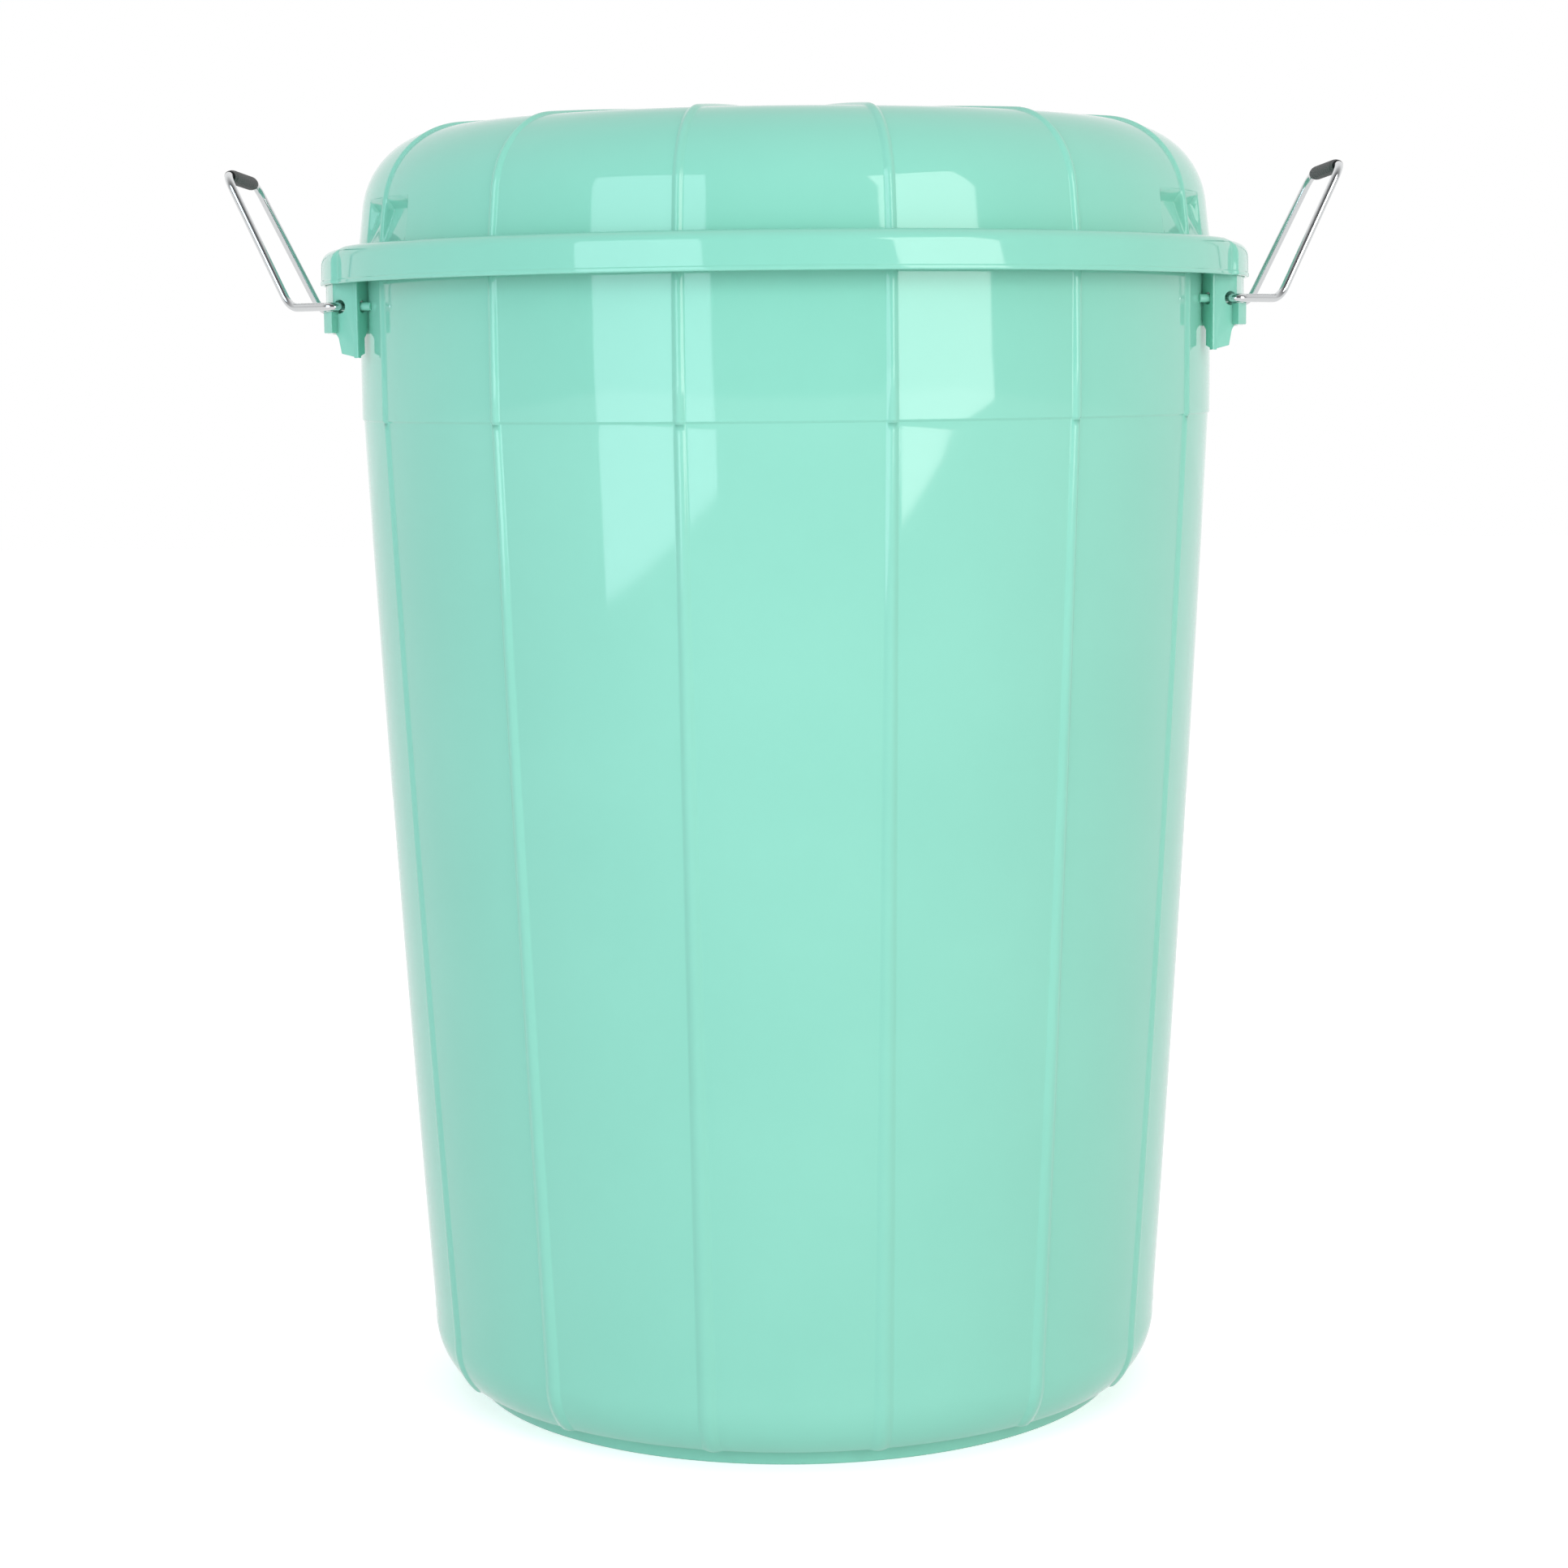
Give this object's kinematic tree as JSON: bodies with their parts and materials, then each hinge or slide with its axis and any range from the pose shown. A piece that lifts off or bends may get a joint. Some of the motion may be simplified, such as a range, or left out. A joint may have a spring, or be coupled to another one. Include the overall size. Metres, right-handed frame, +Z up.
{
  "type": "lidded storage drum with wire handles",
  "caption": "Tall tapered plastic drum with a domed lift-off lid, vertical ribs and two wire bail handles with grips, for storing or carrying dry goods, waste or laundry.",
  "frame": {"origin": "centre of the foot ring, in the plane the drum stands on", "axes": "+Z up along the drum's axis, +X through the right-hand handle, -Y towards the front"},
  "size_m": [0.5498, 0.456, 0.6414],
  "materials": {
    "drum_plastic": "gloss",
    "lid_plastic": "gloss",
    "wire_steel": "bright plated",
    "grip_plastic": "fine grained"
  },
  "bodies": {
    "drum": {"drum_shell": "drum_plastic"},
    "lid_body": {"lid": "lid_plastic"},
    "right_handle": {"right_handle_wire": "wire_steel"},
    "left_handle": {"left_handle_wire": "wire_steel"},
    "right_sleeve": {"right_grip": "grip_plastic"},
    "left_sleeve": {"left_grip": "grip_plastic"}
  },
  "joints": [
    {"name": "lid_lift", "type": "slide", "parent": "drum", "child": "lid_body", "axis": [0, 0, 1], "range_m": [0, 0.25]},
    {"name": "right_handle_hinge", "type": "hinge", "parent": "drum", "child": "right_handle", "pos_m": [0.21412, 0, 0.5474], "axis": [0, -1, 0], "range_deg": [0, 42]},
    {"name": "left_handle_hinge", "type": "hinge", "parent": "drum", "child": "left_handle", "pos_m": [-0.21412, 0, 0.5474], "axis": [0, 1, 0], "range_deg": [0, 42]},
    {"name": "right_grip_spin", "type": "hinge", "parent": "right_handle", "child": "right_sleeve", "pos_m": [0.27147, 0, 0.61186], "axis": [0, 1, 0], "continuous": true},
    {"name": "left_grip_spin", "type": "hinge", "parent": "left_handle", "child": "left_sleeve", "pos_m": [-0.27147, 0, 0.61186], "axis": [0, 1, 0], "continuous": true}
  ]
}
